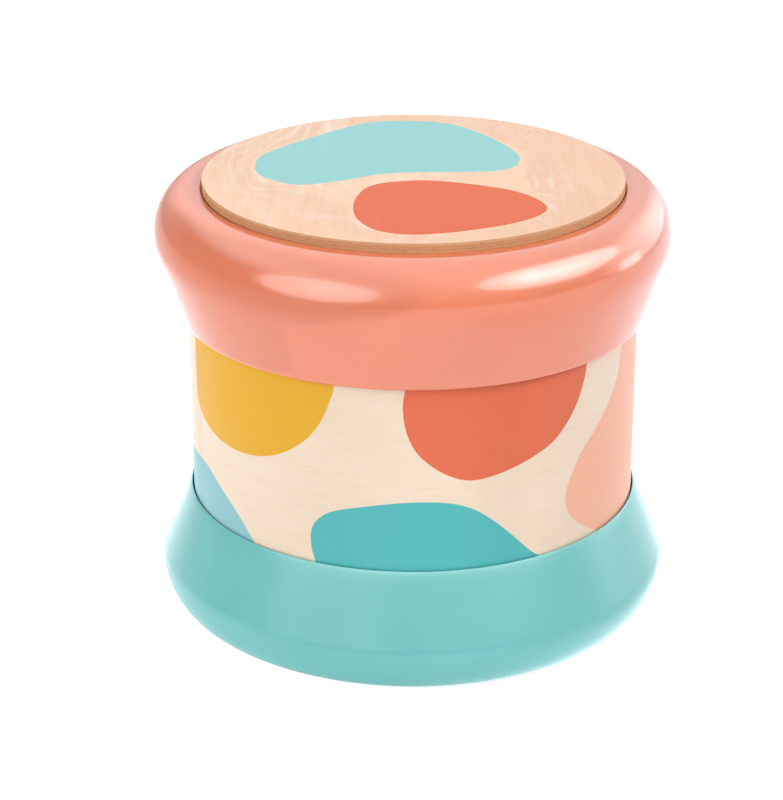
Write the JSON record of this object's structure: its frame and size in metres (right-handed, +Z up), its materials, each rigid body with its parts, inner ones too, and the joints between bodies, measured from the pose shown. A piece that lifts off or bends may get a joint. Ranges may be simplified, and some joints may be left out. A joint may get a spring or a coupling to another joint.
{
  "type": "toy drum",
  "caption": "Electronic toy hand drum: a sprung plywood tap plate in a round plastic rim, over a bent plywood shell and a flared base with loudspeaker, cells and switch.",
  "frame": {"origin": "on the drum's axis, in the plane of the four feet", "axes": "+Z up along the drum's axis; -Y is the front, the side the picture shows; +X is to the right of it"},
  "size_m": [0.1508, 0.1508, 0.1302],
  "materials": {
    "coral_plastic": "glossy",
    "turquoise_plastic": "glossy",
    "plywood": "pale plywood, clear matt lacquer, with plain printed colour patches",
    "white_plastic": "satin",
    "foot_rubber": "matt",
    "steel": "zinc plated",
    "dark_plastic": "satin",
    "circuit_board": "green solder mask",
    "paper_cone": "dark pressed paper",
    "cell_case": "plain sleeved case",
    "lead_cover": "satin insulation"
  },
  "bodies": {
    "drum_body": {"spring_deck": "white_plastic", "return_spring_1": "steel", "return_spring_2": "steel", "return_spring_3": "steel", "deck_screw_1": "steel", "deck_screw_2": "steel", "deck_screw_3": "steel", "tap_board": "circuit_board", "tap_board_screw_1": "steel", "tap_board_screw_2": "steel", "rubber_dome": "foot_rubber", "top_rim": "coral_plastic", "drum_shell": "plywood", "base_shell": "turquoise_plastic", "tie_screw_1": "steel", "tie_screw_2": "steel", "tie_screw_3": "steel", "bottom_plate": "turquoise_plastic", "bottom_screw_1": "steel", "bottom_screw_2": "steel", "bottom_screw_3": "steel", "rubber_foot_1": "foot_rubber", "rubber_foot_2": "foot_rubber", "rubber_foot_3": "foot_rubber", "rubber_foot_4": "foot_rubber", "speaker_frame": "dark_plastic", "speaker_magnet": "steel", "speaker_screw_1": "steel", "speaker_screw_2": "steel", "battery_1": "cell_case", "battery_2": "cell_case", "contact_bridge": "steel", "contact_negative": "steel", "contact_positive": "steel", "sound_board": "circuit_board", "sound_chip": "dark_plastic", "sound_board_screw_1": "steel", "sound_board_screw_2": "steel", "switch_body": "dark_plastic", "tap_lead": "lead_cover", "speaker_lead": "lead_cover", "battery_lead": "lead_cover", "switch_lead": "lead_cover"},
    "tap_plate": {"drum_plate": "plywood", "plate_carrier": "white_plastic", "plate_screw_1": "steel", "plate_screw_2": "steel", "plate_screw_3": "steel", "stop_washer_1": "steel", "stop_washer_2": "steel", "stop_washer_3": "steel", "stop_screw_1": "steel", "stop_screw_2": "steel", "stop_screw_3": "steel"},
    "switch_knob": {"switch_knob": "white_plastic"},
    "battery_door": {"battery_door": "turquoise_plastic"},
    "door_screw_1": {"door_screw_1": "steel"},
    "door_screw_2": {"door_screw_2": "steel"},
    "speaker_cone": {"speaker_cone": "paper_cone"}
  },
  "joints": [
    {"name": "plate_tap", "type": "slide", "parent": "drum_body", "child": "tap_plate", "axis": [0, 0, -1], "range_m": [0, 0.0016], "stiffness_N_per_m": 1500, "springref_m": -0.002, "deforming": ["return_spring_1", "return_spring_2", "return_spring_3", "rubber_dome"]},
    {"name": "knob_slide", "type": "slide", "parent": "drum_body", "child": "switch_knob", "axis": [0, 1, 0], "range_m": [0, 0.004]},
    {"name": "door_lift", "type": "slide", "parent": "drum_body", "child": "battery_door", "axis": [0, 0, -1], "range_m": [0, 0.02]},
    {"name": "door_screw_turn_1", "type": "hinge", "parent": "battery_door", "child": "door_screw_1", "pos_m": [-0.02895, 0.013, 0], "axis": [0, 0, 1], "continuous": true},
    {"name": "door_screw_turn_2", "type": "hinge", "parent": "battery_door", "child": "door_screw_2", "pos_m": [0.02895, 0.013, 0], "axis": [0, 0, 1], "continuous": true},
    {"name": "cone_excursion", "type": "slide", "parent": "drum_body", "child": "speaker_cone", "axis": [0, 0, 1], "range_m": [-0.0004, 0.0004], "stiffness_N_per_m": 500}
  ]
}
